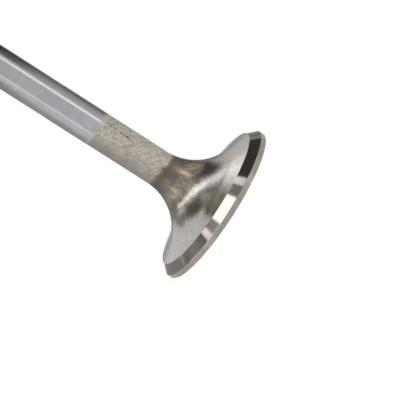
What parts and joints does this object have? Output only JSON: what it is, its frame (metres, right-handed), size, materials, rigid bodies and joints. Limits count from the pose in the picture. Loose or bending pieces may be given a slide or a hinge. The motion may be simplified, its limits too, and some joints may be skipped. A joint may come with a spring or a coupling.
{
  "type": "engine valve",
  "caption": "Poppet valve for an engine: flat-faced head with a ground conical seat, a concave underhead fillet and a long plated stem with a keeper groove near its tip.",
  "frame": {"origin": "centre of the head's flat combustion face, which is the face that the valve stands on", "axes": "+Z along the stem, from the head to the tip; X and Y are free, since the valve is a body of revolution"},
  "size_m": [0.0402, 0.0402, 0.1247],
  "materials": {
    "valve_steel": "turned and ground steel: bright plated stem, matt blasted neck, fine-turned underhead fillet and a ground seat"
  },
  "bodies": {
    "root": {"engine_valve": "valve_steel"}
  },
  "joints": []
}
